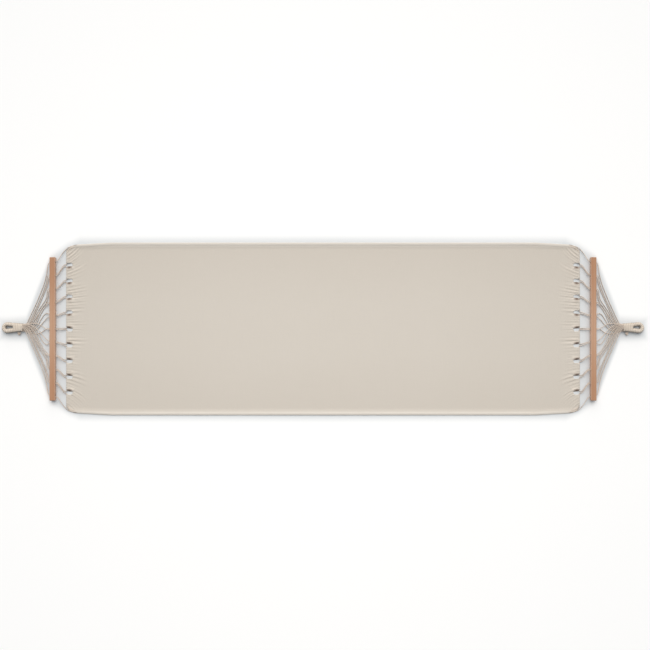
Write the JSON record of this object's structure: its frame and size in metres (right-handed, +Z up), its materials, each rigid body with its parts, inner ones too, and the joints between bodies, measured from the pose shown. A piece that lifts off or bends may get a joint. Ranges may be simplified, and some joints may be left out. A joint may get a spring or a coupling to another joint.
{
  "type": "spreader-bar hammock",
  "caption": "Flat cloth hammock with a wooden spreader bar at each end, cotton lacing cords gathered to a whipped rope eye, and rolled side hems that carry cords.",
  "frame": {"origin": "middle of the bed on the floor plane it is laid out on", "axes": "+X along the length, from eye to eye; +Y across the bed; +Z up, out of the lying surface"},
  "size_m": [2.982, 0.802, 0.025],
  "materials": {
    "cotton_canvas": "matt natural cotton canvas",
    "cotton_cord": "matt twisted cotton cord",
    "bar_wood": "satin oiled hardwood",
    "eye_serving": "matt cord wound round the eye",
    "whipping_cord": "matt cord wound round the neck",
    "cord_bundle": "cotton cords side by side"
  },
  "bodies": {
    "bed_left": {"canvas_bed_left_half": "cotton_canvas", "side_cords_left_front": "cotton_cord", "side_cords_left_back": "cotton_cord"},
    "bar_left": {"spreader_bar_left": "bar_wood", "lacing_cord_left_1": "cotton_cord", "lacing_cord_left_2": "cotton_cord", "lacing_cord_left_3": "cotton_cord", "lacing_cord_left_4": "cotton_cord", "lacing_cord_left_5": "cotton_cord", "lacing_cord_left_6": "cotton_cord", "lacing_cord_left_7": "cotton_cord", "lacing_cord_left_8": "cotton_cord", "corner_cords_left_front": "cotton_cord", "corner_cords_left_back": "cotton_cord"},
    "clew_left": {"clew_cord_left_1": "cotton_cord", "clew_cord_left_2": "cotton_cord", "clew_cord_left_3": "cotton_cord", "clew_cord_left_4": "cotton_cord", "clew_cord_left_5": "cotton_cord", "clew_cord_left_6": "cotton_cord", "clew_cord_left_7": "cotton_cord", "clew_cord_left_8": "cotton_cord", "clew_side_cords_left_front": "cotton_cord", "clew_side_cords_left_back": "cotton_cord"},
    "eye_left": {"eye_core_left": "cord_bundle", "eye_serving_left": "eye_serving", "neck_whipping_left": "whipping_cord", "whipping_knot_left": "whipping_cord"},
    "bed_right": {"canvas_bed_right_half": "cotton_canvas", "side_cords_right_front": "cotton_cord", "side_cords_right_back": "cotton_cord"},
    "bar_right": {"spreader_bar_right": "bar_wood", "lacing_cord_right_1": "cotton_cord", "lacing_cord_right_2": "cotton_cord", "lacing_cord_right_3": "cotton_cord", "lacing_cord_right_4": "cotton_cord", "lacing_cord_right_5": "cotton_cord", "lacing_cord_right_6": "cotton_cord", "lacing_cord_right_7": "cotton_cord", "lacing_cord_right_8": "cotton_cord", "corner_cords_right_front": "cotton_cord", "corner_cords_right_back": "cotton_cord"},
    "clew_right": {"clew_cord_right_1": "cotton_cord", "clew_cord_right_2": "cotton_cord", "clew_cord_right_3": "cotton_cord", "clew_cord_right_4": "cotton_cord", "clew_cord_right_5": "cotton_cord", "clew_cord_right_6": "cotton_cord", "clew_cord_right_7": "cotton_cord", "clew_cord_right_8": "cotton_cord", "clew_side_cords_right_front": "cotton_cord", "clew_side_cords_right_back": "cotton_cord"},
    "eye_right": {"eye_core_right": "cord_bundle", "eye_serving_right": "eye_serving", "neck_whipping_right": "whipping_cord", "whipping_knot_right": "whipping_cord"}
  },
  "joints": [
    {"name": "bed_fold", "type": "hinge", "parent": "bed_left", "child": "bed_right", "pos_m": [0, 0, 0.0075], "axis": [0, -1, 0], "range_deg": [0, 160]},
    {"name": "bar_fold_left", "type": "hinge", "parent": "bed_left", "child": "bar_left", "pos_m": [-1.19, 0, 0.0036], "axis": [0, 1, 0], "range_deg": [-90, 110]},
    {"name": "clew_fold_left", "type": "hinge", "parent": "bar_left", "child": "clew_left", "pos_m": [-1.2678, 0, 0.0125], "axis": [0, 1, 0], "range_deg": [-60, 60]},
    {"name": "eye_flex_left", "type": "hinge", "parent": "clew_left", "child": "eye_left", "pos_m": [-1.402, 0, 0.011], "axis": [0, 1, 0], "range_deg": [-45, 45]},
    {"name": "bar_fold_right", "type": "hinge", "parent": "bed_right", "child": "bar_right", "pos_m": [1.19, 0, 0.0036], "axis": [0, -1, 0], "range_deg": [-90, 110]},
    {"name": "clew_fold_right", "type": "hinge", "parent": "bar_right", "child": "clew_right", "pos_m": [1.2678, 0, 0.0125], "axis": [0, -1, 0], "range_deg": [-60, 60]},
    {"name": "eye_flex_right", "type": "hinge", "parent": "clew_right", "child": "eye_right", "pos_m": [1.402, 0, 0.011], "axis": [0, -1, 0], "range_deg": [-45, 45]}
  ]
}
